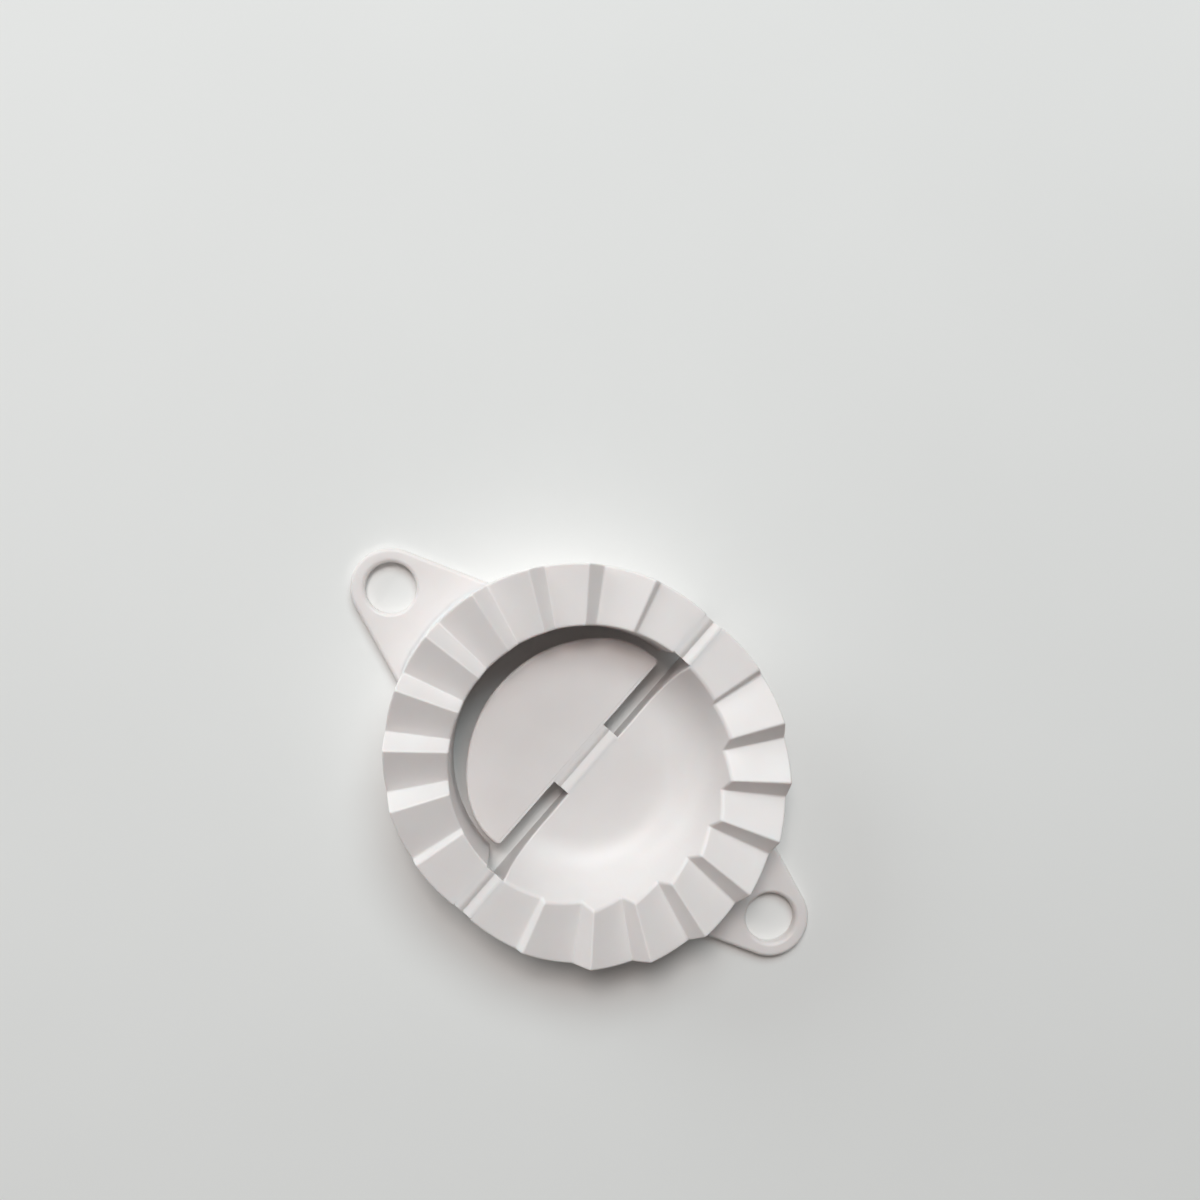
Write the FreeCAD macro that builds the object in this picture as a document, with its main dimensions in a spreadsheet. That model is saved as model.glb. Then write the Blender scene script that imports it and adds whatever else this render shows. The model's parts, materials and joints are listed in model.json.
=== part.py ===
import FreeCAD, Part
import math
import os

import Sketcher
from FreeCAD import Vector

# Gyoza press moulded in one shot and shown open: a bowl half and a ring half whose crimped rims fold
# together on two film hinges, and a flap in the ring's opening that folds up on a third.
# The hinge line is the Y axis, the bowl half lies on +X, the ring half on -X, and the base is z = 0.

SIZES = {
    # plan of the two halves
    "rim_radius": 47.0,
    "arc_offset": 3.9,
    "opening_radius": 34.3,
    "hinge_reach": 2.6,
    "skirt_wall": 1.8,
    # crimped rims
    "pivot_height": 22.0,
    "closing_gap": 1.0,
    "tooth_height": 5.0,
    "tooth_angle": 18.2,
    "riser_angle": 5.0,
    "end_tooth_angle": 74.0,
    "end_tooth_share": 0.35,
    "crimp_thickness": 2.2,
    # dish
    "floor_height": 9.0,
    "dish_wall": 1.8,
    "dish_bend": 13.5,
    "dish_slope": 66.0,
    "seam_drop": 1.2,
    # ears
    "ear_reach": 65.7,
    "ear_radius": 10.2,
    "ear_hole_radius": 6.5,
    "ear_flare": 20.0,
    "ear_thickness": 3.4,
    "ear_bevel": 0.8,
    "ear_cove": 1.2,
    # flap
    "flap_gap": 5.5,
    "flap_side_gap": 3.3,
    "flap_shoulder": 20.0,
    "flap_reach": 2.1,
    "flap_thickness": 2.0,
    "flap_bevel": 0.8,
    "flap_corner": 1.0,
    # film hinges
    "film_inset": 0.4,
    "film_thickness": 0.45,
    "film_shoulder": 2.0,
    "groove_depth": 1.1,
    "groove_half": 1.6,
    "crease_half": 0.25,
    "tab_half": 9.5,
    "tab_thickness": 1.6,
    "tab_groove_depth": 0.8,
    "tab_groove_half": 1.2,
}
INNER_TEETH = 3
BOWL = 1
RING = -1
FAN_REACH = 2
TOLERANCE = 0.01

doc = FreeCAD.newDocument("gyoza_press")
sheet = doc.addObject("Spreadsheet::Sheet", "sizes")
for row, (alias, value) in enumerate(SIZES.items(), start=1):
    sheet.set(f"A{row}", alias)
    sheet.set(f"B{row}", str(value))
    sheet.setAlias(f"B{row}", alias)
doc.recompute()

# heights that several pieces share
CRIMP_LEVEL = "(sizes.pivot_height - sizes.closing_gap / 2)"
HEADROOM = "(sizes.pivot_height + sizes.tooth_height)"
CRIMP_DEPTH = "(sizes.tooth_height / 2 + sizes.crimp_thickness)"
SEAM_LEVEL = f"({CRIMP_LEVEL} - {CRIMP_DEPTH} - sizes.seam_drop)"


def new_body(name):
    return doc.addObject("PartDesign::Body", name)


def plane_of(body, role):
    return next(f for f in body.Origin.OriginFeatures if f.Role == role)


def new_sketch(body, name, role):
    sketch = body.newObject("Sketcher::SketchObject", name)
    sketch.AttachmentSupport = [(plane_of(body, role), "")]
    sketch.MapMode = "FlatFace"
    return sketch


def value_of(owner, expression):
    result = owner.evalExpression(expression)
    return float(getattr(result, "Value", result))


def fix_point(sketch, geometry, end, x, y):
    """Dimension one end of an edge from the sketch's origin."""
    for kind, expression in (("DistanceX", x), ("DistanceY", y)):
        size = value_of(sketch, expression)
        index = sketch.addConstraint(Sketcher.Constraint(kind, -1, 1, geometry, end, size))
        sketch.setExpression(f"Constraints[{index}]", expression)


def trace(sketch, corners, arcs=None):
    """Draw a closed outline through corners.

    arcs maps an edge's number to its radius and its turn, +1 to the left or -1 to the right.
    """
    arcs = arcs or {}
    spots = [Vector(value_of(sketch, x), value_of(sketch, y), 0) for x, y in corners]
    ends = []
    for number, start in enumerate(spots):
        finish = spots[(number + 1) % len(spots)]
        if number not in arcs:
            index = sketch.addGeometry(Part.LineSegment(start, finish))
            ends.append((index, 1, 2))
            continue
        radius_expression, turn = arcs[number]
        radius = value_of(sketch, radius_expression)
        chord = finish - start
        height = max(radius ** 2 - (chord.Length / 2) ** 2, 0) ** 0.5
        left = Vector(-chord.y, chord.x, 0).normalize()
        centre = (start + finish) / 2 + left * height * turn
        first, last = (start, finish) if turn > 0 else (finish, start)
        circle = Part.Circle(centre, Vector(0, 0, 1), radius)
        index = sketch.addGeometry(Part.ArcOfCircle(circle, circle.parameter(first), circle.parameter(last)))
        ends.append((index, 1, 2) if turn > 0 else (index, 2, 1))
    for number, (index, _, finish_end) in enumerate(ends):
        following, start_end, _ = ends[(number + 1) % len(ends)]
        sketch.addConstraint(Sketcher.Constraint("Coincident", index, finish_end, following, start_end))
    for number, (radius_expression, _) in arcs.items():
        radius = value_of(sketch, radius_expression)
        index = sketch.addConstraint(Sketcher.Constraint("Radius", ends[number][0], radius))
        sketch.setExpression(f"Constraints[{index}]", radius_expression)
    for (index, start_end, _), (x, y) in zip(ends, corners):
        fix_point(sketch, index, start_end, x, y)


def trace_circle(sketch, radius, x="0", y="0"):
    centre = Vector(value_of(sketch, x), value_of(sketch, y), 0)
    size = value_of(sketch, radius)
    index = sketch.addGeometry(Part.Circle(centre, Vector(0, 0, 1), size))
    fix_point(sketch, index, 3, x, y)
    constraint = sketch.addConstraint(Sketcher.Constraint("Radius", index, size))
    sketch.setExpression(f"Constraints[{constraint}]", radius)


def trace_box(sketch, low_x, low_y, high_x, high_y):
    trace(sketch, [(low_x, low_y), (high_x, low_y), (high_x, high_y), (low_x, high_y)])


def pad(body, name, sketch, length):
    feature = body.newObject("PartDesign::Pad", name)
    feature.Profile = sketch
    feature.setExpression("Length", length)
    return feature


def cut_through(body, name, sketch, height=f"2 * {HEADROOM}"):
    """Cut upward from a sketch, past the top unless a height is given."""
    feature = body.newObject("PartDesign::Pocket", name)
    feature.Profile = sketch
    feature.Reversed = True
    feature.setExpression("Length", height)
    return feature


def revolve(body, name, sketch, angle):
    """Turn a profile about the sketch's vertical axis, half to each side."""
    feature = body.newObject("PartDesign::Revolution", name)
    feature.Profile = sketch
    feature.ReferenceAxis = (sketch, ["V_Axis"])
    feature.Midplane = True
    feature.setExpression("Angle", angle)
    return feature


def boolean_cut(name, base, tool):
    result = doc.addObject("Part::Cut", name)
    result.Base = base
    result.Tool = tool
    result.Refine = True
    return result


# crimp: lines fan out from each rim's arc centre, rising and falling by turns, so each facet is flat
def crimp_lines():
    """Yield each line's angle from the ear's axis and its rise at the rim's arc, from +Y round to -Y."""
    inner_teeth = [(tooth * sheet.tooth_angle, 1) for tooth in range(INNER_TEETH, -INNER_TEETH - 1, -1)]
    first_tooth = (sheet.end_tooth_angle, sheet.end_tooth_share)
    last_tooth = (-sheet.end_tooth_angle, sheet.end_tooth_share)
    yield 90, 0
    for middle, share in (first_tooth, *inner_teeth, last_tooth):
        for end in (1, -1):
            yield middle + end * share * sheet.riser_angle / 2, end * share * sheet.tooth_height / 2
    yield -90, 0


def above_crimp(name, side, drop):
    """Everything above the crimp, or above its underside when dropped by its thickness."""
    space = doc.addObject("Part::Feature", name)
    level = value_of(space, f"{CRIMP_LEVEL} - {drop}")
    top = value_of(space, f"2 * {HEADROOM}")
    apex = Vector(side * sheet.arc_offset, 0, level)
    fan = []
    for angle, rise in crimp_lines():
        turn = math.radians(angle)
        ray = Vector(side * math.cos(turn) * sheet.rim_radius, math.sin(turn) * sheet.rim_radius, side * rise)
        fan.append(apex + ray * FAN_REACH)
    border = [Vector(0, fan[0].y, level), *fan, Vector(0, fan[-1].y, level)]

    def lifted(spot):
        return Vector(spot.x, spot.y, top)

    outlines = [[apex, first, second] for first, second in zip(fan, fan[1:])]
    outlines.append([border[0], fan[0], apex, fan[-1], border[-1]])
    outlines.append([lifted(spot) for spot in border])
    for first, second in zip(border, border[1:] + border[:1]):
        outlines.append([first, second, lifted(second), lifted(first)])
    faces = [Part.Face(Part.makePolygon(outline + outline[:1])) for outline in outlines]
    shell = Part.makeShell(faces)
    shell.sewShape()
    solid = Part.makeSolid(shell)
    if solid.Volume < 0:
        solid.reverse()
    space.Shape = solid
    return space


def half_block(name, side, inset, drop):
    """One half as a solid block, or the room inside it when inset by the wall."""
    body = new_body(name)
    outline = new_sketch(body, f"{name}_outline", "XY_Plane")
    radius = f"(sizes.rim_radius - {inset})"
    centre = f"{side} * sizes.arc_offset"
    far = f"{side} * (sizes.arc_offset + {radius})"
    corners = [("0", radius), (centre, radius), (far, "0"), (centre, f"-{radius}"), ("0", f"-{radius}")]
    trace(outline, corners, {1: (radius, -side), 2: (radius, -side)})
    pad(body, f"{name}_pad", outline, HEADROOM)

    strip = new_sketch(body, f"{name}_hinge_strip", "XY_Plane")
    edge = f"(sizes.hinge_reach + {inset})"
    trace_box(strip, f"-{edge}", "-2 * sizes.rim_radius", edge, "2 * sizes.rim_radius")
    cut_through(body, f"{name}_hinge_side", strip)

    if side == RING:
        opening = new_sketch(body, f"{name}_opening", "XY_Plane")
        trace_circle(opening, f"sizes.opening_radius + {inset}")
        cut_through(body, f"{name}_opening_cut", opening)
    return boolean_cut(f"{name}_crimped", body, above_crimp(f"{name}_crimp", side, drop))


# ring half: a crimped channel round an open middle, hollow underneath
ring_block = half_block("ring_block", RING, "0", "0")
ring_room = half_block("ring_room", RING, "sizes.skirt_wall", "sizes.crimp_thickness")
ring_rim = boolean_cut("ring_rim", ring_block, ring_room)

# dish: a flat floor, one bend and a straight slope up to the mouth
BEND_TOP = "(sizes.floor_height + sizes.dish_bend * (1 - cos(sizes.dish_slope)))"
BEND_END = f"(sizes.opening_radius - ({CRIMP_LEVEL} - {BEND_TOP}) / tan(sizes.dish_slope))"
FLAT_RADIUS = f"({BEND_END} - sizes.dish_bend * sin(sizes.dish_slope))"
FRONT_END = f"({BEND_END} + ({HEADROOM} - {BEND_TOP}) / tan(sizes.dish_slope))"
BACK_LEVEL = "(sizes.floor_height - sizes.dish_wall)"
BACK_BEND = "(sizes.dish_bend + sizes.dish_wall)"
BACK_BEND_TOP = f"({BACK_LEVEL} + {BACK_BEND} * (1 - cos(sizes.dish_slope)))"
BACK_BEND_END = f"({FLAT_RADIUS} + {BACK_BEND} * sin(sizes.dish_slope))"
BACK_END = f"({BACK_BEND_END} + ({HEADROOM} - {BACK_BEND_TOP}) / tan(sizes.dish_slope))"

dish_hollow = new_body("dish_hollow")
hollow_profile = new_sketch(dish_hollow, "hollow_profile", "XZ_Plane")
trace(
    hollow_profile,
    [
        ("0", "sizes.floor_height"),
        (FLAT_RADIUS, "sizes.floor_height"),
        (BEND_END, BEND_TOP),
        (FRONT_END, HEADROOM),
        ("0", HEADROOM),
    ],
    {1: ("sizes.dish_bend", 1)},
)
revolve(dish_hollow, "hollow_turned", hollow_profile, "360")

# the sloping wall above the seam, kept when the rim is hollowed
dish_collar = new_body("dish_collar")
collar_profile = new_sketch(dish_collar, "collar_profile", "XZ_Plane")
trace(
    collar_profile,
    [
        ("0", BACK_LEVEL),
        (FLAT_RADIUS, BACK_LEVEL),
        (BACK_BEND_END, BACK_BEND_TOP),
        (BACK_END, HEADROOM),
        ("0", HEADROOM),
    ],
    {1: (BACK_BEND, 1)},
)
revolve(dish_collar, "collar_turned", collar_profile, "360")
below_seam = new_sketch(dish_collar, "below_seam", "XY_Plane")
trace_circle(below_seam, "2 * sizes.rim_radius")
cut_through(dish_collar, "collar_cut", below_seam, SEAM_LEVEL)

bowl_block = half_block("bowl_block", BOWL, "0", "0")
bowl_room = half_block("bowl_room", BOWL, "sizes.skirt_wall", "sizes.crimp_thickness")
bowl_open = boolean_cut("bowl_open", bowl_block, dish_hollow)
bowl_under = boolean_cut("bowl_under", bowl_room, dish_collar)
bowl_rim = boolean_cut("bowl_rim", bowl_open, bowl_under)

bowl_dish = new_body("bowl_dish")
dish_profile = new_sketch(bowl_dish, "dish_profile", "XZ_Plane")
trace(
    dish_profile,
    [
        ("0", BACK_LEVEL),
        (FLAT_RADIUS, BACK_LEVEL),
        (BACK_BEND_END, BACK_BEND_TOP),
        (BACK_END, HEADROOM),
        (FRONT_END, HEADROOM),
        (BEND_END, BEND_TOP),
        (FLAT_RADIUS, "sizes.floor_height"),
        ("0", "sizes.floor_height"),
    ],
    {1: (BACK_BEND, 1), 5: ("sizes.dish_bend", -1)},
)
revolve(bowl_dish, "dish_turned", dish_profile, "360")
above_seam = new_sketch(bowl_dish, "above_seam", "XY_Plane")
above_seam.setExpression("AttachmentOffset.Base.z", SEAM_LEVEL)
trace_circle(above_seam, "2 * sizes.rim_radius")
cut_through(bowl_dish, "dish_topped", above_seam)
dish_side = new_sketch(bowl_dish, "dish_hinge_side", "XY_Plane")
trace_box(
    dish_side,
    "-2 * sizes.rim_radius",
    "-2 * sizes.rim_radius",
    "sizes.hinge_reach + sizes.skirt_wall",
    "2 * sizes.rim_radius",
)
cut_through(bowl_dish, "dish_halved", dish_side)


# ears: flared tabs with a round hole, bevelled on top, with a cove where they meet the skirt
def ear(name, side):
    body = new_body(name)
    outline = new_sketch(body, f"{name}_outline", "XY_Plane")
    root = "(sizes.arc_offset + sizes.rim_radius / 2)"
    flare = f"(sizes.ear_reach - {root}) * tan(sizes.ear_flare)"
    root_half = f"(sizes.ear_radius / cos(sizes.ear_flare) + {flare})"
    touch = f"{side} * (sizes.ear_reach + sizes.ear_radius * sin(sizes.ear_flare))"
    touch_half = "(sizes.ear_radius * cos(sizes.ear_flare))"
    tip = f"{side} * (sizes.ear_reach + sizes.ear_radius)"
    corners = [
        (f"{side} * {root}", f"-{root_half}"),
        (touch, f"-{touch_half}"),
        (tip, "0"),
        (touch, touch_half),
        (f"{side} * {root}", root_half),
    ]
    trace(outline, corners, {1: ("sizes.ear_radius", side), 2: ("sizes.ear_radius", side)})
    trace_circle(outline, "sizes.ear_hole_radius", f"{side} * sizes.ear_reach")
    pad(body, f"{name}_pad", outline, "sizes.ear_thickness")

    seat = new_sketch(body, f"{name}_seat", "XY_Plane")
    trace_circle(seat, "sizes.rim_radius", f"{side} * sizes.arc_offset")
    seated = cut_through(body, f"{name}_seated", seat)
    doc.recompute()

    def on_skirt(edge):
        middle = edge.valueAt((edge.FirstParameter + edge.LastParameter) / 2)
        reach = middle.distanceToPoint(Vector(side * SIZES["arc_offset"], 0, middle.z))
        return abs(reach - SIZES["rim_radius"]) < TOLERANCE

    top_edges = [
        f"Edge{number}"
        for number, edge in enumerate(seated.Shape.Edges, start=1)
        if edge.BoundBox.ZMin > SIZES["ear_thickness"] - TOLERANCE and not on_skirt(edge)
    ]
    bevel = body.newObject("PartDesign::Chamfer", f"{name}_bevel")
    bevel.Base = (seated, top_edges)
    bevel.setExpression("Size", "sizes.ear_bevel")

    cove = new_sketch(body, f"{name}_cove", "XZ_Plane")
    cove.setExpression("AttachmentOffset.Base.x", f"{side} * sizes.arc_offset")
    inner = f"{side} * sizes.rim_radius"
    outer = f"{side} * (sizes.rim_radius + sizes.ear_cove)"
    trace(
        cove,
        [
            (inner, "sizes.ear_thickness"),
            (outer, "sizes.ear_thickness"),
            (inner, "sizes.ear_thickness + sizes.ear_cove"),
        ],
    )
    narrow = "(sizes.ear_reach - sizes.arc_offset - sizes.rim_radius) * tan(sizes.ear_flare)"
    narrow_half = f"(sizes.ear_radius / cos(sizes.ear_flare) + {narrow})"
    cove_angle = f"2 * asin({narrow_half} / (sizes.rim_radius + sizes.ear_cove))"
    revolve(body, f"{name}_cove_turned", cove, cove_angle)
    return body


bowl_ear = ear("bowl_ear", BOWL)
ring_ear = ear("ring_ear", RING)

# flap: a D-shaped plate level with the dish floor, its round edge bevelled on top
FLAP_HALF = "(sizes.opening_radius - sizes.flap_side_gap)"
SHOULDER_DROP = f"({FLAP_HALF} - sizes.flap_shoulder)"
TIP_DROP = "(sizes.opening_radius - sizes.flap_shoulder)"
SHOULDER_SHIFT = f"sqrt({TIP_DROP} ^ 2 - {SHOULDER_DROP} ^ 2)"
SHOULDER_X = f"(sizes.flap_gap - {SHOULDER_SHIFT})"
TOUCH_X = f"(sizes.flap_gap - sizes.opening_radius * {SHOULDER_SHIFT} / {TIP_DROP})"
TOUCH_HALF = f"(sizes.opening_radius * {SHOULDER_DROP} / {TIP_DROP})"
flap_plate = new_body("flap_plate")
flap_outline = new_sketch(flap_plate, "flap_outline", "XY_Plane")
flap_outline.setExpression("AttachmentOffset.Base.z", "sizes.floor_height - sizes.flap_thickness")
trace(
    flap_outline,
    [
        ("-sizes.flap_reach", FLAP_HALF),
        (SHOULDER_X, FLAP_HALF),
        (TOUCH_X, TOUCH_HALF),
        ("sizes.flap_gap - sizes.opening_radius", "0"),
        (TOUCH_X, f"-{TOUCH_HALF}"),
        (SHOULDER_X, f"-{FLAP_HALF}"),
        ("-sizes.flap_reach", f"-{FLAP_HALF}"),
    ],
    {
        1: ("sizes.flap_shoulder", 1),
        2: ("sizes.opening_radius", 1),
        3: ("sizes.opening_radius", 1),
        4: ("sizes.flap_shoulder", 1),
    },
)
flap_pad = pad(flap_plate, "flap_pad", flap_outline, "sizes.flap_thickness")
doc.recompute()
upright = [
    f"Edge{number}"
    for number, edge in enumerate(flap_pad.Shape.Edges, start=1)
    if edge.BoundBox.ZLength > SIZES["flap_thickness"] / 2
    and edge.BoundBox.XMin > -SIZES["flap_reach"] - TOLERANCE
]
flap_corners = flap_plate.newObject("PartDesign::Fillet", "flap_corners")
flap_corners.Base = (flap_pad, upright)
flap_corners.setExpression("Radius", "sizes.flap_corner")
doc.recompute()
round_edge = [
    f"Edge{number}"
    for number, edge in enumerate(flap_corners.Shape.Edges, start=1)
    if edge.BoundBox.ZMin > SIZES["floor_height"] - TOLERANCE
    and edge.BoundBox.XMin < -SIZES["flap_reach"] - TOLERANCE
]
flap_bevel = flap_plate.newObject("PartDesign::Chamfer", "flap_bevel")
flap_bevel.Base = (flap_corners, round_edge)
flap_bevel.setExpression("Size", "sizes.flap_bevel")


# film hinges: strips thinned to a film along the hinge line
def film(name, near, far, top, shoulder, depth, groove, edge_y, length):
    """A grooved strip from x = near to x = far, its far end at edge_y, running toward -Y."""
    body = new_body(name)
    section = new_sketch(body, f"{name}_section", "XZ_Plane")
    section.setExpression("AttachmentOffset.Base.z", f"-({edge_y})")
    crease = f"{top} - {depth}"
    under = f"{top} - {shoulder}"
    belly = f"{crease} - sizes.film_thickness"
    trace(
        section,
        [
            (near, under),
            (f"-{groove}", under),
            ("-sizes.crease_half", belly),
            ("sizes.crease_half", belly),
            (groove, under),
            (far, under),
            (far, top),
            (groove, top),
            ("sizes.crease_half", crease),
            ("-sizes.crease_half", crease),
            (f"-{groove}", top),
            (near, top),
        ],
    )
    pad(body, f"{name}_pad", section, length)
    return body


RIM_FILM = "(sizes.rim_radius - sizes.opening_radius - 2 * sizes.film_inset)"
rim_film = (
    "-sizes.hinge_reach",
    "sizes.hinge_reach",
    CRIMP_LEVEL,
    "sizes.film_shoulder",
    "sizes.groove_depth",
    "sizes.groove_half",
)
rim_hinge_1 = film("rim_hinge_1", *rim_film, "sizes.rim_radius - sizes.film_inset", RIM_FILM)
rim_hinge_2 = film("rim_hinge_2", *rim_film, "-sizes.opening_radius - sizes.film_inset", RIM_FILM)
flap_hinge = film(
    "flap_hinge",
    "-sizes.flap_reach",
    "sizes.hinge_reach",
    "sizes.floor_height",
    "sizes.tab_thickness",
    "sizes.tab_groove_depth",
    "sizes.tab_groove_half",
    "sizes.tab_half",
    "2 * sizes.tab_half",
)

doc.recompute()

PIECES = (
    bowl_rim,
    bowl_dish,
    bowl_ear,
    ring_rim,
    ring_ear,
    flap_plate,
    rim_hinge_1,
    rim_hinge_2,
    flap_hinge,
)
faults = [item.Name for item in doc.Objects if "Invalid" in item.State or "Error" in item.State]
if faults:
    raise RuntimeError(f"objects that failed: {faults}")
for piece in PIECES:
    if piece.Shape.isNull() or not piece.Shape.isValid() or len(piece.Shape.Solids) != 1:
        raise RuntimeError(f"{piece.Label} is not one valid solid")

os.makedirs("parts", exist_ok=True)
for piece in PIECES:
    piece.Shape.exportStep(f"parts/{piece.Label}.step")
    print(piece.Label, round(piece.Shape.Volume, 1), "mm3")
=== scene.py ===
import json
import math

import bmesh
import bpy
from mathutils import Matrix, Vector


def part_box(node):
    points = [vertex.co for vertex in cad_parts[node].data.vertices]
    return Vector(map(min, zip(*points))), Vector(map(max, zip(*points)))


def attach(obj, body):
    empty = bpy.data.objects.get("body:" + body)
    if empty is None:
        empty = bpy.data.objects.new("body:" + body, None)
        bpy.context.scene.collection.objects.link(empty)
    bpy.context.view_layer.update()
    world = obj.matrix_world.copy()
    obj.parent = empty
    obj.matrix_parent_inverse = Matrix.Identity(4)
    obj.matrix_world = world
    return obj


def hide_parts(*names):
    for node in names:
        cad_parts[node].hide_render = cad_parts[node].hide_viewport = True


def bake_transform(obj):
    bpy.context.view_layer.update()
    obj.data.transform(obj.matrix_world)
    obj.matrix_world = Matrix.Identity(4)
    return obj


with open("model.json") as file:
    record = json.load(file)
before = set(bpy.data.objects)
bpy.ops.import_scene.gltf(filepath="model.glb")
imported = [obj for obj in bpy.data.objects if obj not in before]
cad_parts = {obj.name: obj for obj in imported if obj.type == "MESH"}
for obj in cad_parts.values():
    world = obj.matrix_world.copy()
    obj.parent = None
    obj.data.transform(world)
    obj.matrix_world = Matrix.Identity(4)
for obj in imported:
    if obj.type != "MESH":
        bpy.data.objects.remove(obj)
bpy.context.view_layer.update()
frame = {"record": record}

MM = 0.001
RIGHT_ANGLE = math.radians(90)
BOWL = 1
RING = -1

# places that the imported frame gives
rim_low, rim_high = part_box("bowl_rim")
_, ear_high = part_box("bowl_ear")
flap_low, flap_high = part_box("flap_plate")
film_low, film_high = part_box("rim_hinge_1")
tab_low, tab_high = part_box("flap_hinge")
ear_hole = next(mount for mount in frame["record"]["mounts"] if mount["name"] == "bowl_ear_hole")

RIM_RADIUS = rim_high.y
ARC_OFFSET = rim_high.x - RIM_RADIUS
HINGE_REACH = rim_low.x
CRIMP_LEVEL = film_high.z
DISH_FLOOR = flap_high.z
EAR_REACH = ear_hole["pos_m"][0]
EAR_RADIUS = ear_high.x - EAR_REACH

# rims, dish and flap
OPENING_RADIUS = 34.3 * MM
SKIRT_WALL = 1.8 * MM
CRIMP_THICKNESS = 2.2 * MM
RING_DRAFT = 0.8 * MM
DISH_WALL = 1.8 * MM
DISH_BEND = 13.5 * MM
DISH_SLOPE = math.radians(66)
FLAP_SHOULDER = 20.0 * MM
FLAP_CORNER = 1.0 * MM

# crimp, with its angles in degrees
TOOTH_HEIGHT = 5.0 * MM
TOOTH_ANGLE = 18.2
RISER_ANGLE = 5.0
TEETH_EACH_SIDE = 3
END_TOOTH_ANGLE = 74.0
END_TOOTH_SHARE = 0.35
CRIMP_END_ANGLE = 90.0

# ears, whose undersides stay just clear of the plane of the skirts' feet
EAR_HOLE_RADIUS = 6.5 * MM
EAR_THICKNESS = 3.4 * MM
EAR_FLARE = math.radians(20)
EAR_LIFT = 0.03 * MM
EAR_COVE = 1.2 * MM
COVE_END = 0.05 * MM
COVE_ROOT = 0.5 * MM
COVE_FADE_POWER = 8

# film hinges
RIM_CREASE_DEPTH = 0.6 * MM
RIM_DIP = 0.95 * MM
RIM_ROLL = 1.9 * MM
TAB_CREASE_DEPTH = 0.6 * MM
TAB_DIP = 0.9 * MM
TAB_ROLL = 1.9 * MM
CREASE_HALF = 0.12 * MM
FILM_THICKNESS = 0.45 * MM
FILM_BAND = 1.0 * MM

# how far each edge's rounding reaches from its corner
RIDGE_EDGE = 0.55 * MM
RIM_EDGE = 0.6 * MM
MOUTH_EDGE = 0.9 * MM
HINGE_EDGE = 0.5 * MM
FOOT_EDGE = 0.25 * MM
EAR_EDGE = 1.1 * MM
EAR_SEAT_EDGE = 0.05 * MM
FLAP_EDGE = 0.8 * MM
FLAP_SLOT_EDGE = 0.25 * MM
FLAP_TAB_EDGE = 0.02 * MM
DIP_EDGE = 0.75 * MM
ROLL_EDGE = 0.65 * MM
CREASE_EDGE = 0.08 * MM

# how finely the meshes are divided
CORNER_STEPS = 5
CORNER_ANGLES = [RIGHT_ANGLE * step / CORNER_STEPS for step in range(CORNER_STEPS + 1)]
STATION_STEP = 1.6 * MM
TOP_ROWS = 9
DISH_ROWS = 36
ARC_STEPS = 40
SEAT_ENDS = 4
FILM_ROWS = 24

# the bend at which an edge is shaded sharp, and the steps of a search
SHARP_ANGLE = math.radians(38)
HALVINGS = 50

# points beside each end of the flap's film, as shares of half its width
TAB_END_SHARES = (-1.02, -0.98, 0.98, 1.02)

# plastic
PLASTIC_IOR = 1.49
SCATTER_WEIGHT = 0.2
SCATTER_RADIUS = (1.0, 0.55, 0.42)
SCATTER_SCALE = 2 * MM
DEEP_TINT = (0.775, 0.725, 0.71, 1)
DEEP_TINT_AT = 0.3
LIGHT_TINT = (0.815, 0.77, 0.757, 1)
LIGHT_TINT_AT = 0.7
MOTTLE_SCALE = 45
MOTTLE_DETAIL = 3
GLOSS_SCALE = 160
GLOSS_DETAIL = 4
LEAST_ROUGHNESS = 0.34
MOST_ROUGHNESS = 0.5
GRAIN_SCALE = 2200
GRAIN_DETAIL = 2
GRAIN_STRENGTH = 0.06
GRAIN_DEPTH = 0.1 * MM

# floor and surround
FLOOR_SIZE = 4.0
FLOOR_LEVEL = -0.02 * MM
FLOOR_ROUGHNESS = 0.7
FLOOR_SPECKLE_SCALE = 60
FLOOR_DEEP_TINT = (0.8, 0.79, 0.775, 1)
FLOOR_LIGHT_TINT = (0.83, 0.82, 0.805, 1)
FADE_START = 0.2
FADE_END = 0.7
SURROUND_COLOUR = (1, 0.95, 0.92, 1)
SURROUND_STRENGTH = 0.12
WHITE = (1, 1, 1, 1)

# lamps
LIGHT_DISTANCE = 2.0
KEY_AZIMUTH = math.radians(150)
KEY_ELEVATION = math.radians(64)
KEY_SIZE = (0.6, 0.6)
KEY_POWER = 14.2
KEY_COLOUR = (1.0, 0.92, 0.89)
PANEL_AZIMUTH = math.radians(122)
PANEL_ELEVATION = math.radians(52)
PANEL_POWER = 19.0
PANEL_COLOUR = (0.84, 0.965, 1.0)
FILL_AZIMUTH = math.radians(182)
FILL_ELEVATION = math.radians(18)
FILL_POWER = 13.2
FILL_COLOUR = (0.89, 0.975, 1.0)
BROAD_SIZE = (1.4, 1.0)

# camera
PICTURE_SIZE = 1200
ORIGIN_PIXEL_X = 589.4
ORIGIN_PIXEL_Y = 766.0
PIXELS_PER_MM = 4.10
SENSOR = 36 * MM
NEAR_CLIP = 1.0 * MM
CAMERA_DISTANCE = 300.9 * MM
CAMERA_TURN = math.radians(-41.3)
CAMERA_TILT_UP = math.radians(0.82)
CAMERA_TILT_SIDE = math.radians(5.24)


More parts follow.
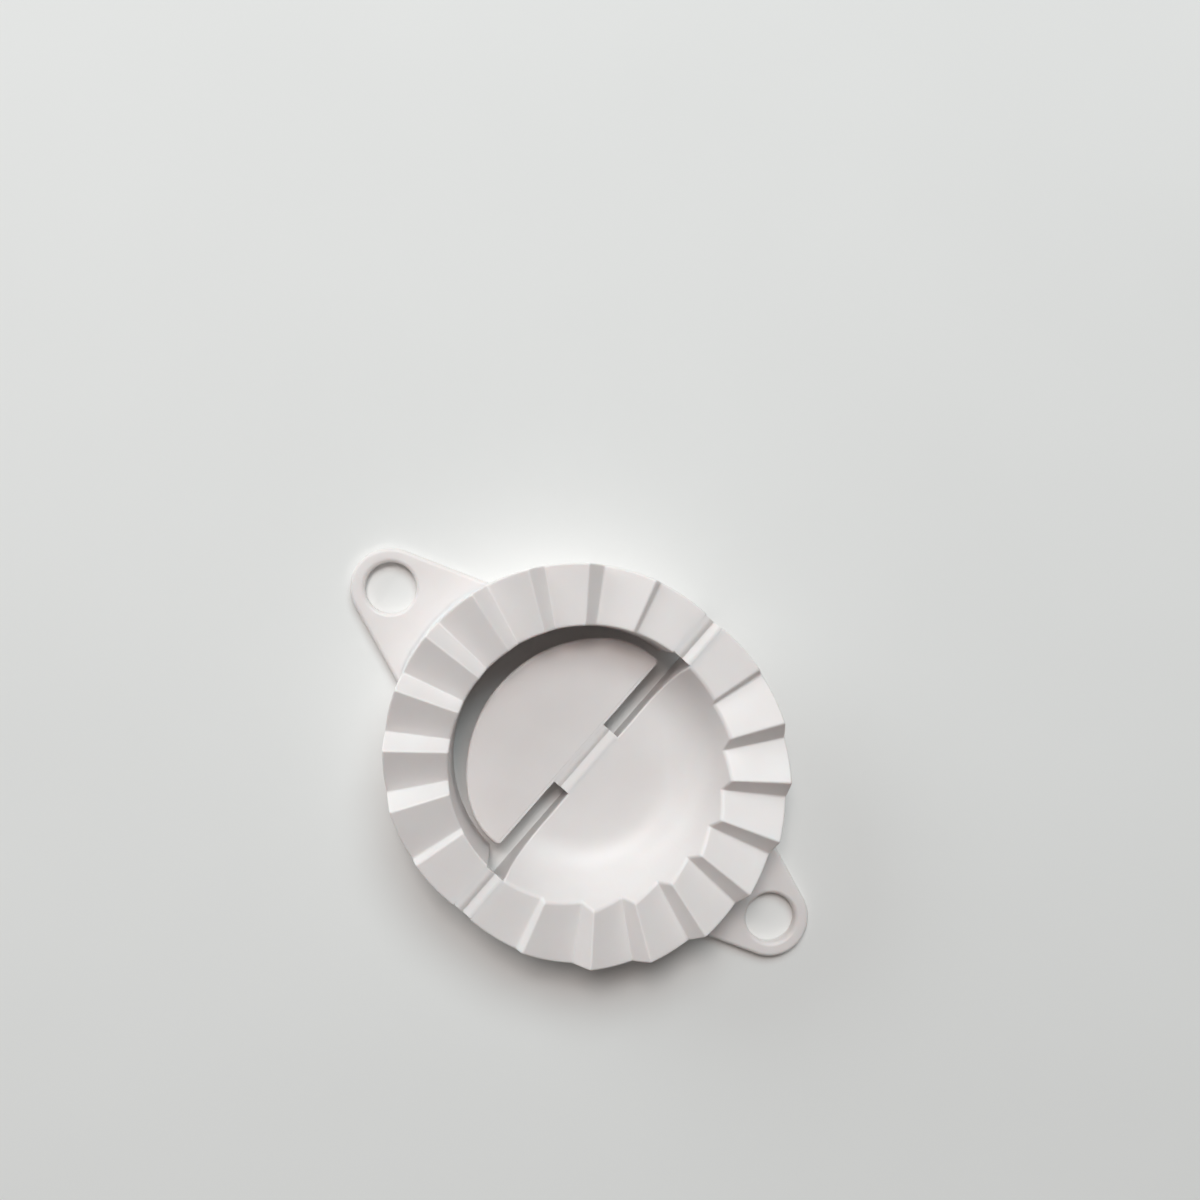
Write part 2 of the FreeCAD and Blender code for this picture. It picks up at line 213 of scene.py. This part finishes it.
def rounded(points, setbacks):
    """Round each inner corner of a line by a curve that leaves it by its setback."""
    line = [points[0]]
    for before, corner, after, setback in zip(points, points[1:], points[2:], setbacks):
        first = corner + (before - corner).normalized() * setback
        last = corner + (after - corner).normalized() * setback
        for step in range(CORNER_STEPS + 1):
            share = step / CORNER_STEPS
            near = first.lerp(corner, share)
            far = corner.lerp(last, share)
            line.append(near.lerp(far, share))
    line.append(points[-1])
    return line


def solve(change, low, high):
    """Find where a rising function crosses zero."""
    for _ in range(HALVINGS):
        middle = (low + high) / 2
        if change(middle) < 0:
            low = middle
        else:
            high = middle
    return (low + high) / 2


def plan_distance(point):
    """Distance of a point from the upright axis through the origin."""
    return math.hypot(point.x, point.y)


def add_line(mesh, points):
    return [mesh.verts.new(point) for point in points]


def add_strip(mesh, first, second):
    """Join two lines of points of the same count."""
    for low_a, high_a, low_b, high_b in zip(first, first[1:], second, second[1:]):
        mesh.faces.new((low_a, low_b, high_b, high_a))


def add_grid(mesh, lines):
    """Join open lines of points, each to the next."""
    grid = [add_line(mesh, line) for line in lines]
    for first, second in zip(grid, grid[1:]):
        add_strip(mesh, first, second)
    return grid


def add_bands(mesh, rings):
    """Join closed rings of points, each to the next."""
    loops = [add_line(mesh, ring) for ring in rings]
    for first, second in zip(loops, loops[1:]):
        add_strip(mesh, first + first[:1], second + second[:1])
    return loops


def add_capped_bands(mesh, rings):
    """Join closed rings of points and fill the first and the last."""
    loops = add_bands(mesh, rings)
    mesh.faces.new(loops[0])
    mesh.faces.new(loops[-1])


def make_piece(name, mesh):
    """Turn a closed mesh into a smooth-shaded object of the moulding's material."""
    bmesh.ops.recalc_face_normals(mesh, faces=mesh.faces)
    data = bpy.data.meshes.new(name)
    mesh.to_mesh(data)
    mesh.free()
    data.shade_smooth()
    data.set_sharp_from_angle(angle=SHARP_ANGLE)
    data.materials.append(moulding)
    piece = bpy.data.objects.new(name, data)
    bpy.context.scene.collection.objects.link(piece)
    return piece


def weigh_normals(piece):
    """Keep broad faces flat beside their rounded edges."""
    modifier = piece.modifiers.new("weighted", "WEIGHTED_NORMAL")
    modifier.keep_sharp = True


def moulded_plastic():
    """Warm white polypropylene: semi-gloss, faintly mottled, with a fine moulded grain."""
    material = bpy.data.materials.new("moulding")
    material.use_nodes = True
    nodes = material.node_tree.nodes
    links = material.node_tree.links
    shader = nodes["Principled BSDF"]
    shader.inputs["IOR"].default_value = PLASTIC_IOR
    shader.inputs["Subsurface Weight"].default_value = SCATTER_WEIGHT
    shader.inputs["Subsurface Radius"].default_value = SCATTER_RADIUS
    shader.inputs["Subsurface Scale"].default_value = SCATTER_SCALE
    place = nodes.new("ShaderNodeTexCoord")

    def noise(scale, detail):
        texture = nodes.new("ShaderNodeTexNoise")
        texture.inputs["Scale"].default_value = scale
        texture.inputs["Detail"].default_value = detail
        links.new(place.outputs["Object"], texture.inputs["Vector"])
        return texture.outputs["Fac"]

    tint = nodes.new("ShaderNodeValToRGB")
    tint.color_ramp.elements[0].position = DEEP_TINT_AT
    tint.color_ramp.elements[0].color = DEEP_TINT
    tint.color_ramp.elements[1].position = LIGHT_TINT_AT
    tint.color_ramp.elements[1].color = LIGHT_TINT
    links.new(noise(MOTTLE_SCALE, MOTTLE_DETAIL), tint.inputs["Fac"])
    links.new(tint.outputs["Color"], shader.inputs["Base Color"])

    gloss = nodes.new("ShaderNodeMapRange")
    gloss.inputs["To Min"].default_value = LEAST_ROUGHNESS
    gloss.inputs["To Max"].default_value = MOST_ROUGHNESS
    links.new(noise(GLOSS_SCALE, GLOSS_DETAIL), gloss.inputs["Value"])
    links.new(gloss.outputs["Result"], shader.inputs["Roughness"])

    grain = nodes.new("ShaderNodeBump")
    grain.inputs["Strength"].default_value = GRAIN_STRENGTH
    grain.inputs["Distance"].default_value = GRAIN_DEPTH
    links.new(noise(GRAIN_SCALE, GRAIN_DETAIL), grain.inputs["Height"])
    links.new(grain.outputs["Normal"], shader.inputs["Normal"])
    return material


# the dish: a flat floor, one bend and a straight slope up to the mouth
BEND_TOP = DISH_FLOOR + DISH_BEND * (1 - math.cos(DISH_SLOPE))
BEND_END = OPENING_RADIUS - (CRIMP_LEVEL - BEND_TOP) / math.tan(DISH_SLOPE)
FLAT_RADIUS = BEND_END - DISH_BEND * math.sin(DISH_SLOPE)


def dish_height(reach, wall):
    """Height of the dish at a distance from its middle, on the face (wall 0) or on the back."""
    bend = DISH_BEND + wall
    bend_end = FLAT_RADIUS + bend * math.sin(DISH_SLOPE)
    bend_middle = DISH_FLOOR - wall + bend
    if reach <= FLAT_RADIUS:
        return DISH_FLOOR - wall
    if reach <= bend_end:
        return bend_middle - math.sqrt(bend ** 2 - (reach - FLAT_RADIUS) ** 2)
    return bend_middle - bend * math.cos(DISH_SLOPE) + (reach - bend_end) * math.tan(DISH_SLOPE)


# the halves: lines run across each rim and fan out from its arc's centre
def crimp_stations():
    """List each line's angle from the ear's axis and its rise at the rim, from +Y round to -Y."""
    teeth = [(END_TOOTH_ANGLE, END_TOOTH_SHARE)]
    for tooth in range(TEETH_EACH_SIDE, -TEETH_EACH_SIDE - 1, -1):
        teeth.append((tooth * TOOTH_ANGLE, 1))
    teeth.append((-END_TOOTH_ANGLE, END_TOOTH_SHARE))
    corners = [(CRIMP_END_ANGLE, 0)]
    for middle, share in teeth:
        for end in (1, -1):
            angle = middle + end * share * RISER_ANGLE / 2
            corners.append((angle, end * share * TOOTH_HEIGHT / 2))
    corners.append((-CRIMP_END_ANGLE, 0))
    corners = [Vector((math.radians(angle) * RIM_RADIUS, rise)) for angle, rise in corners]
    line = rounded(corners, [RIDGE_EDGE] * (len(corners) - 2))
    stations = []
    for first, last in zip(line, line[1:]):
        count = math.ceil((last - first).length / STATION_STEP)
        stations += [first.lerp(last, step / count) for step in range(count)]
    stations.append(line[-1])
    return [(station.x / RIM_RADIUS, station.y) for station in stations]


STATIONS = crimp_stations()


def divided_top(line):
    """Divide the span after a line's first rounded corner into the rows of a rim's top."""
    span = CORNER_STEPS + 1
    first, last = line[span], line[span + 1]
    rows = [first.lerp(last, row / TOP_ROWS) for row in range(1, TOP_ROWS)]
    return line[: span + 1] + rows + line[span + 1 :]


def rim_line(side, fan_start, angle, rise, room):
    """Points up the skirt, over the crimp and down inside, for a half's outside or its room."""
    inset = SKIRT_WALL if room else 0
    drop = CRIMP_THICKNESS if room else 0
    wall = DISH_WALL if room else 0
    start = Vector((side * fan_start, 0, CRIMP_LEVEL - drop))
    run = Vector((side * math.cos(angle), math.sin(angle), side * rise / RIM_RADIUS))
    radius = RIM_RADIUS - inset - max(fan_start - ARC_OFFSET, 0)
    outer = start + run * radius
    foot = Vector((outer.x, outer.y, 0))

    def past_opening(reach):
        return plan_distance(start + run * reach) - (OPENING_RADIUS + inset)

    def below_dish(reach):
        point = start + run * reach
        return dish_height(plan_distance(point), wall) - point.z

    if side == RING:
        inner = start + run * solve(past_opening, 0, radius)
        inner_foot = Vector((inner.x - run.x * RING_DRAFT, inner.y - run.y * RING_DRAFT, 0))
        return divided_top(rounded([foot, outer, inner, inner_foot], [RIM_EDGE, RIM_EDGE]))

    mouth = start + run * solve(below_dish, 0, radius)
    centre = Vector((side * (HINGE_REACH + inset + HINGE_EDGE), 0, 0))
    slope = []
    for row in range(1, DISH_ROWS):
        point = mouth.lerp(centre, row / DISH_ROWS)
        point.z = dish_height(plan_distance(point), wall)
        slope.append(point)
    top = divided_top(rounded([foot, outer, mouth, slope[0]], [RIM_EDGE, MOUTH_EDGE]))
    return top + slope[1:]


def meets_film(point):
    """Whether a film joins a half at this point of its hinge side, which stays square there."""
    at_rim_film = film_low.y <= abs(point.y) <= film_high.y and point.z > CRIMP_LEVEL - FILM_BAND
    at_tab = abs(point.y) < tab_high.y
    return at_rim_film or at_tab


def hinge_end(line, side, reach):
    """Lines that round a half off where it meets the hinge plane, from the plane inward."""
    turn = 1 if line[0].y > 0 else -1
    lines = []
    for angle in reversed(CORNER_ANGLES[1:]):
        x = side * (reach + HINGE_EDGE * (1 - math.sin(angle)))
        moved = []
        for before, point, after in zip([line[0]] + line, line, line[1:] + [line[-1]]):
            along = Vector((0, after.y - before.y, after.z - before.z)).normalized()
            outward = Vector((0, turn * along.z, -turn * along.y))
            sink = 0 if meets_film(point) else HINGE_EDGE * (1 - math.cos(angle))
            place = point - outward * sink
            moved.append(Vector((x, place.y, max(place.z, 0))))
        lines.append(moved)
    return lines


def half_lines(side, room):
    """All lines of a half's outside or its room, from one end of the hinge side to the other."""
    reach = HINGE_REACH + (SKIRT_WALL if room else 0)
    near = reach + HINGE_EDGE
    fan_start = max(ARC_OFFSET, near)
    lines = [rim_line(side, fan_start, angle, rise, room) for angle, rise in STATIONS]
    if fan_start > near:
        end_angle = math.radians(CRIMP_END_ANGLE)
        first, last = (rim_line(side, near, angle, 0, room) for angle in (end_angle, -end_angle))
        lines = [first, *lines, last]
    return hinge_end(lines[0], side, reach) + lines + hinge_end(lines[-1], side, reach)[::-1]


def join_feet(mesh, outside, room, row):
    """Close the foot between a half's outside, which has a line more at each end, and its room."""
    outer = [line[row] for line in outside]
    inner = [line[row] for line in room]
    add_strip(mesh, outer[1:-1], inner)
    mesh.faces.new((outer[0], outer[1], inner[0]))
    mesh.faces.new((outer[-2], outer[-1], inner[-1]))


def ring_shell():
    """The ring's rim: an outside and a room under it, joined along both feet and at both ends."""
    mesh = bmesh.new()
    outside = add_grid(mesh, half_lines(RING, room=False))
    room = add_grid(mesh, half_lines(RING, room=True))
    join_feet(mesh, outside, room, 0)
    join_feet(mesh, outside, room, -1)
    for end in (0, -1):
        mesh.faces.new(outside[end])
        mesh.faces.new(room[end])
        mesh.faces.new((outside[end][0], outside[end][-1], room[end][-1], room[end][0]))
    return make_piece("ring_shell", mesh)


def hinge_wall(mesh, line):
    """Close a half's hinge side straight down to the floor, and give the points along its foot."""
    under = add_line(mesh, [Vector((spot.co.x, spot.co.y, 0)) for spot in line[2:-2]])
    foot = [line[0], *under, line[-1]]
    add_strip(mesh, line[1:-1], foot)
    return foot


def bowl_shell():
    """The dish half's rim and dish: an outside and a room under it, joined along the foot."""
    mesh = bmesh.new()
    outside = add_grid(mesh, half_lines(BOWL, room=False))
    room = add_grid(mesh, half_lines(BOWL, room=True))
    feet = []
    for grid in (outside, room):
        middle = [line[-1] for line in grid]
        add_strip(mesh, middle[: CORNER_STEPS + 1], middle[::-1][: CORNER_STEPS + 1])
        mesh.faces.new(middle[CORNER_STEPS:-CORNER_STEPS])
        feet.append(hinge_wall(mesh, grid[0] + grid[-1][::-1]))
    add_strip(mesh, *feet)
    join_feet(mesh, outside, room, 0)
    return make_piece("bowl_shell", mesh)


# ears and flap: an outline with a rounded top edge, as points with their outward normals
def arc_points(centre, radius, start, finish, steps):
    for step in range(steps + 1):
        angle = start + (finish - start) * step / steps
        normal = Vector((math.cos(angle), math.sin(angle)))
        yield centre + normal * radius, normal


def inset_spot(spot, inset, height):
    point, normal = spot
    return Vector((point.x - normal.x * inset, point.y - normal.y * inset, height))


def edge_rings(outline, edges, low, high):
    """Rings of points from the foot of an outline's edge up and over its rounded top."""
    rings = []
    for inset, lift in ((FOOT_EDGE, 0), (0, FOOT_EDGE)):
        rings.append([inset_spot(spot, inset, low + lift) for spot in outline])
    for angle in CORNER_ANGLES:
        inward = 1 - math.cos(angle)
        down = 1 - math.sin(angle)
        ring = []
        for spot, edge in zip(outline, edges):
            ring.append(inset_spot(spot, edge * inward, high - edge * down))
        rings.append(ring)
    return rings


def mirrored(spots):
    """The same outline on the other side of the ear's axis, run backwards."""
    flip = Vector((1, -1))
    return [(point * flip, normal * flip) for point, normal in spots[::-1]]


def turned_to(side, points):
    return [Vector((side * point.x, point.y, point.z)) for point in points]


def flank_half(x):
    """Half the width of an ear at a place along its axis."""
    return EAR_RADIUS / math.cos(EAR_FLARE) + (EAR_REACH - x) * math.tan(EAR_FLARE)


def flank_foot(radius):
    """Where an ear's flank meets a circle about the rim's arc centre."""
    def past_circle(x):
        return math.hypot(x - ARC_OFFSET, flank_half(x)) - radius

    x = solve(past_circle, ARC_OFFSET, EAR_REACH)
    return Vector((x, flank_half(x)))


def add_ear_plate(mesh, side):
    """Add an ear's plate, rounded along its free edge and round its hole, and seated in the skirt."""
    hole = Vector((EAR_REACH, 0))
    axle = Vector((ARC_OFFSET, 0))
    seat = RIM_RADIUS - SKIRT_WALL / 2
    flank_normal = Vector((math.sin(EAR_FLARE), math.cos(EAR_FLARE)))
    root = flank_foot(seat)
    touch = hole + flank_normal * EAR_RADIUS
    flank = [(root.lerp(touch, step / ARC_STEPS), flank_normal) for step in range(ARC_STEPS)]
    tip_angle = RIGHT_ANGLE - EAR_FLARE
    tip = list(arc_points(hole, EAR_RADIUS, tip_angle, -tip_angle, ARC_STEPS))
    seat_angle = math.atan2(root.y, root.x - ARC_OFFSET)
    seated = list(arc_points(axle, seat, -seat_angle, seat_angle, ARC_STEPS))[SEAT_ENDS:-SEAT_ENDS]
    free = flank + tip + mirrored(flank)
    outline = free + [(point, -normal) for point, normal in seated]
    bore = []
    for point, _ in outline:
        inward = (hole - point).normalized()
        bore.append((hole - inward * EAR_HOLE_RADIUS, inward))

    edges = [EAR_EDGE] * len(free) + [EAR_SEAT_EDGE] * len(seated)
    rings = edge_rings(outline, edges, EAR_LIFT, EAR_THICKNESS)
    rings += edge_rings(bore, [EAR_EDGE] * len(bore), EAR_LIFT, EAR_THICKNESS)[::-1]
    loops = add_bands(mesh, [turned_to(side, ring) for ring in rings])
    add_strip(mesh, loops[-1] + loops[-1][:1], loops[0] + loops[0][:1])


def cove_section(angle, size):
    """A hollow-faced corner strip between an ear's top and the skirt, cut across at one angle."""
    size = max(size, COVE_END)
    behind = RIM_RADIUS - COVE_ROOT
    below = EAR_THICKNESS - COVE_ROOT
    spots = [(behind, EAR_THICKNESS + size), (behind, below), (RIM_RADIUS + size, below)]
    for turn in CORNER_ANGLES:
        out = size * (1 - math.sin(turn))
        up = size * (1 - math.cos(turn))
        spots.append((RIM_RADIUS + out, EAR_THICKNESS + up))
    return [
        Vector((ARC_OFFSET + radius * math.cos(angle), radius * math.sin(angle), height))
        for radius, height in spots
    ]


def add_ear_cove(mesh, side):
    """Add the hollow corner along an ear's root, which thins out toward both flanks."""
    foot = flank_foot(RIM_RADIUS)
    reach = math.atan2(foot.y, foot.x - ARC_OFFSET) - EAR_EDGE / RIM_RADIUS
    sections = []
    for step in range(2 * ARC_STEPS + 1):
        share = step / ARC_STEPS - 1
        section = cove_section(reach * share, EAR_COVE * (1 - share ** COVE_FADE_POWER))
        sections.append(turned_to(side, section))
    add_capped_bands(mesh, sections)


def ear_tab(name, side):
    mesh = bmesh.new()
    add_ear_plate(mesh, side)
    add_ear_cove(mesh, side)
    return make_piece(name, mesh)


def flap_arc():
    """Points round the flap's free edge: a shoulder at each side and a tip round as the opening."""
    middle = Vector((flap_low.x + OPENING_RADIUS, 0))
    drop = flap_high.y - FLAP_SHOULDER
    shift = math.sqrt((OPENING_RADIUS - FLAP_SHOULDER) ** 2 - drop ** 2)
    touch = math.pi - math.atan2(drop, shift)
    high = Vector((middle.x - shift, drop))
    low = Vector((middle.x - shift, -drop))
    spots = list(arc_points(high, FLAP_SHOULDER, RIGHT_ANGLE, touch, ARC_STEPS))[:-1]
    spots += list(arc_points(middle, OPENING_RADIUS, touch, math.tau - touch, 2 * ARC_STEPS))[:-1]
    spots += arc_points(low, FLAP_SHOULDER, math.tau - touch, 3 * RIGHT_ANGLE, ARC_STEPS)
    return [point for point, _ in spots]


def flap_edge(point):
    """How far the flap's top edge is rounded, which is hardly at all where its film joins it."""
    if abs(point.x - flap_high.x) >= FLAP_TAB_EDGE:
        return FLAP_EDGE
    return FLAP_TAB_EDGE if abs(point.y) < tab_high.y else FLAP_SLOT_EDGE


def flap_lid():
    """The D-shaped flap, with two small corners at the ends of its straight edge."""
    straight = flap_high.x
    arc = [Vector((straight, flap_high.y)), *flap_arc(), Vector((straight, -flap_high.y))]
    slot = [Vector((straight, share * tab_high.y)) for share in TAB_END_SHARES]
    low_corner = rounded([arc[-2], arc[-1], slot[0]], [FLAP_CORNER])[1:-1]
    high_corner = rounded([slot[-1], arc[0], arc[1]], [FLAP_CORNER])[1:-1]
    points = arc[1:-1] + low_corner + slot + high_corner
    outline = []
    for before, point, after in zip(points[-1:] + points, points, points[1:] + points[:1]):
        along = (after - before).normalized()
        outline.append((point, Vector((along.y, -along.x))))
    edges = [flap_edge(point) for point in points]
    mesh = bmesh.new()
    add_capped_bands(mesh, edge_rings(outline, edges, flap_low.z, flap_high.z))
    return make_piece("flap_lid", mesh)


# film hinges: strips that dip to a crease and roll up to the dish half
def film_strip(name, low, high, depth, dip, roll):
    """A film between two corners of its box, as one section carried along Y."""
    top = [
        Vector((low.x, high.z)),
        Vector((-dip, high.z)),
        Vector((-CREASE_HALF, high.z - depth)),
        Vector((CREASE_HALF, high.z - depth)),
        Vector((roll, high.z)),
        Vector((high.x, high.z)),
    ]
    belly = high.z - depth - FILM_THICKNESS
    under = [
        Vector((high.x, low.z)),
        Vector((roll, low.z)),
        Vector((CREASE_HALF, belly)),
        Vector((-CREASE_HALF, belly)),
        Vector((-dip, low.z)),
        Vector((low.x, low.z)),
    ]
    section = rounded(top, [DIP_EDGE, CREASE_EDGE, CREASE_EDGE, ROLL_EDGE])
    section += rounded(under, [CREASE_EDGE] * (len(under) - 2))
    rings = []
    for step in range(FILM_ROWS + 1):
        y = low.y + (high.y - low.y) * step / FILM_ROWS
        rings.append([Vector((point.x, y, point.y)) for point in section])
    mesh = bmesh.new()
    add_capped_bands(mesh, rings)
    return make_piece(name, mesh)


# stage: a pale floor, three soft lamps and an even surround
def floor_surface():
    """A pale surface that goes to white far off where the camera sees it."""
    material = bpy.data.materials.new("pale_floor")
    material.use_nodes = True
    nodes = material.node_tree.nodes
    links = material.node_tree.links
    shader = nodes["Principled BSDF"]
    shader.inputs["Roughness"].default_value = FLOOR_ROUGHNESS
    speckle = nodes.new("ShaderNodeTexNoise")
    speckle.inputs["Scale"].default_value = FLOOR_SPECKLE_SCALE
    tint = nodes.new("ShaderNodeValToRGB")
    tint.color_ramp.elements[0].color = FLOOR_DEEP_TINT
    tint.color_ramp.elements[1].color = FLOOR_LIGHT_TINT
    links.new(speckle.outputs["Fac"], tint.inputs["Fac"])
    links.new(tint.outputs["Color"], shader.inputs["Base Color"])

    place = nodes.new("ShaderNodeTexCoord")
    distance = nodes.new("ShaderNodeVectorMath")
    distance.operation = "LENGTH"
    links.new(place.outputs["Object"], distance.inputs[0])
    fade = nodes.new("ShaderNodeMapRange")
    fade.interpolation_type = "SMOOTHSTEP"
    fade.inputs["From Min"].default_value = FADE_START
    fade.inputs["From Max"].default_value = FADE_END
    links.new(distance.outputs["Value"], fade.inputs["Value"])
    path = nodes.new("ShaderNodeLightPath")
    share = nodes.new("ShaderNodeMath")
    share.operation = "MULTIPLY"
    links.new(fade.outputs["Result"], share.inputs[0])
    links.new(path.outputs["Is Camera Ray"], share.inputs[1])
    white = nodes.new("ShaderNodeEmission")
    mix = nodes.new("ShaderNodeMixShader")
    links.new(share.outputs["Value"], mix.inputs["Fac"])
    links.new(shader.outputs["BSDF"], mix.inputs[1])
    links.new(white.outputs["Emission"], mix.inputs[2])
    links.new(mix.outputs["Shader"], nodes["Material Output"].inputs["Surface"])
    return material


def pale_floor():
    """A floor just under the press that keeps its shadow."""
    mesh = bmesh.new()
    bmesh.ops.create_grid(mesh, x_segments=1, y_segments=1, size=FLOOR_SIZE / 2)
    data = bpy.data.meshes.new("floor")
    mesh.to_mesh(data)
    mesh.free()
    data.materials.append(floor_surface())
    floor = bpy.data.objects.new("floor", data)
    floor.location.z = FLOOR_LEVEL
    bpy.context.scene.collection.objects.link(floor)


def soft_light(name, azimuth, elevation, size, power, colour):
    """An oval lamp that faces the middle of the press."""
    lamp = bpy.data.lights.new(name, "AREA")
    lamp.shape = "ELLIPSE"
    lamp.size, lamp.size_y = size
    lamp.energy = power
    lamp.color = colour
    light = bpy.data.objects.new(name, lamp)
    level = math.cos(elevation)
    toward = Vector((level * math.cos(azimuth), level * math.sin(azimuth), math.sin(elevation)))
    light.location = toward * LIGHT_DISTANCE
    light.rotation_euler = toward.to_track_quat("Z", "Y").to_euler()
    bpy.context.scene.collection.objects.link(light)


def surround():
    """Even light on the object, with white behind it."""
    world = bpy.data.worlds.new("surround")
    world.use_nodes = True
    bpy.context.scene.world = world
    nodes = world.node_tree.nodes
    links = world.node_tree.links
    even = nodes["Background"]
    even.inputs["Color"].default_value = SURROUND_COLOUR
    even.inputs["Strength"].default_value = SURROUND_STRENGTH
    white = nodes.new("ShaderNodeBackground")
    white.inputs["Color"].default_value = WHITE
    path = nodes.new("ShaderNodeLightPath")
    seen = nodes.new("ShaderNodeMath")
    seen.operation = "MAXIMUM"
    links.new(path.outputs["Is Camera Ray"], seen.inputs[0])
    links.new(path.outputs["Is Transmission Ray"], seen.inputs[1])
    mix = nodes.new("ShaderNodeMixShader")
    links.new(seen.outputs["Value"], mix.inputs["Fac"])
    links.new(even.outputs["Background"], mix.inputs[1])
    links.new(white.outputs["Background"], mix.inputs[2])
    links.new(mix.outputs["Shader"], nodes["World Output"].inputs["Surface"])


def photo_camera():
    """Stand the camera as the photograph's stood, and aim it by the picture of the origin."""
    turn = Matrix.Rotation(CAMERA_TURN, 3, "Z")
    tilt = Matrix.Rotation(CAMERA_TILT_SIDE, 3, "Y") @ Matrix.Rotation(CAMERA_TILT_UP, 3, "X")
    facing = (tilt @ turn).transposed()
    focal = PIXELS_PER_MM / MM * CAMERA_DISTANCE
    right = (PICTURE_SIZE / 2 - ORIGIN_PIXEL_X) * CAMERA_DISTANCE / focal
    up = (ORIGIN_PIXEL_Y - PICTURE_SIZE / 2) * CAMERA_DISTANCE / focal
    data = bpy.data.cameras.new("camera")
    data.sensor_width = SENSOR / MM
    data.lens = SENSOR / MM * focal / PICTURE_SIZE
    data.clip_start = NEAR_CLIP
    camera = bpy.data.objects.new("camera", data)
    place = Vector((0, 0, CRIMP_LEVEL)) + facing @ Vector((right, up, CAMERA_DISTANCE))
    camera.matrix_world = Matrix.Translation(place) @ facing.to_4x4()
    bpy.context.scene.collection.objects.link(camera)
    bpy.context.scene.camera = camera


moulding = moulded_plastic()

bowl = bowl_shell()
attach(bowl, "bowl_half")
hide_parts("bowl_rim", "bowl_dish")
ring = ring_shell()
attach(ring, "ring_half")
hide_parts("ring_rim")
for side, body, node in ((BOWL, "bowl_half", "bowl_ear"), (RING, "ring_half", "ring_ear")):
    tab = ear_tab(f"{node}_tab", side)
    weigh_normals(tab)
    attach(tab, body)
    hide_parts(node)
flap = flap_lid()
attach(flap, "flap")
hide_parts("flap_plate")
for piece in (bowl, ring, flap):
    weigh_normals(piece)

for number in (1, 2):
    node = f"rim_hinge_{number}"
    strip = film_strip(f"rim_film_{number}", *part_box(node), RIM_CREASE_DEPTH, RIM_DIP, RIM_ROLL)
    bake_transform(strip)
    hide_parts(node)
tab_film = film_strip("flap_film", tab_low, tab_high, TAB_CREASE_DEPTH, TAB_DIP, TAB_ROLL)
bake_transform(tab_film)
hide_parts("flap_hinge")

pale_floor()
soft_light("key", KEY_AZIMUTH, KEY_ELEVATION, KEY_SIZE, KEY_POWER, KEY_COLOUR)
soft_light("panel", PANEL_AZIMUTH, PANEL_ELEVATION, BROAD_SIZE, PANEL_POWER, PANEL_COLOUR)
soft_light("fill", FILL_AZIMUTH, FILL_ELEVATION, BROAD_SIZE, FILL_POWER, FILL_COLOUR)
surround()
photo_camera()
bpy.context.scene.view_settings.view_transform = "Standard"
